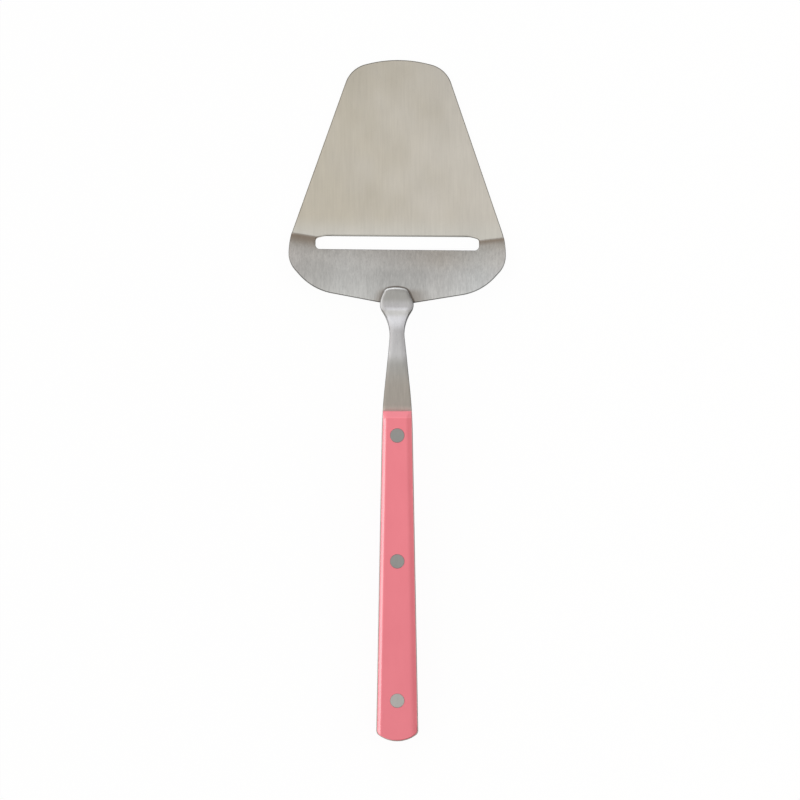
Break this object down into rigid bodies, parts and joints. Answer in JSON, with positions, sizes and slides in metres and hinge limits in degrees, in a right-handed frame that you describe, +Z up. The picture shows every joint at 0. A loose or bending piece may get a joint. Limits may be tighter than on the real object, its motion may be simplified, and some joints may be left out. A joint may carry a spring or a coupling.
{
  "type": "cheese slicer",
  "caption": "Hand cheese slicer: flat spade blade with a cross slot, ground edge and raised throat, on a forged neck and full tang between riveted plastic handle scales.",
  "frame": {"origin": "on the table under the middle of the slicer's length, on its centre line", "axes": "+Y from the handle to the tip of the blade, +Z up from the table, +X to the right seen from the handle"},
  "size_m": [0.0768, 0.2403, 0.0189],
  "materials": {
    "plate_steel": "fine brushed along the blade, warm grey",
    "shank_steel": "satin, slightly darker than the plate",
    "handle_plastic": "satin coral pink",
    "rivet_steel": "flat ground, dull grey"
  },
  "bodies": {
    "root": {"blade_plate": "plate_steel", "shank": "shank_steel", "front_scale": "handle_plastic", "back_scale": "handle_plastic", "rivet_tube_front": "rivet_steel", "rivet_tube_middle": "rivet_steel", "rivet_tube_rear": "rivet_steel", "rivet_pin_front": "rivet_steel", "rivet_pin_middle": "rivet_steel", "rivet_pin_rear": "rivet_steel"}
  },
  "joints": []
}
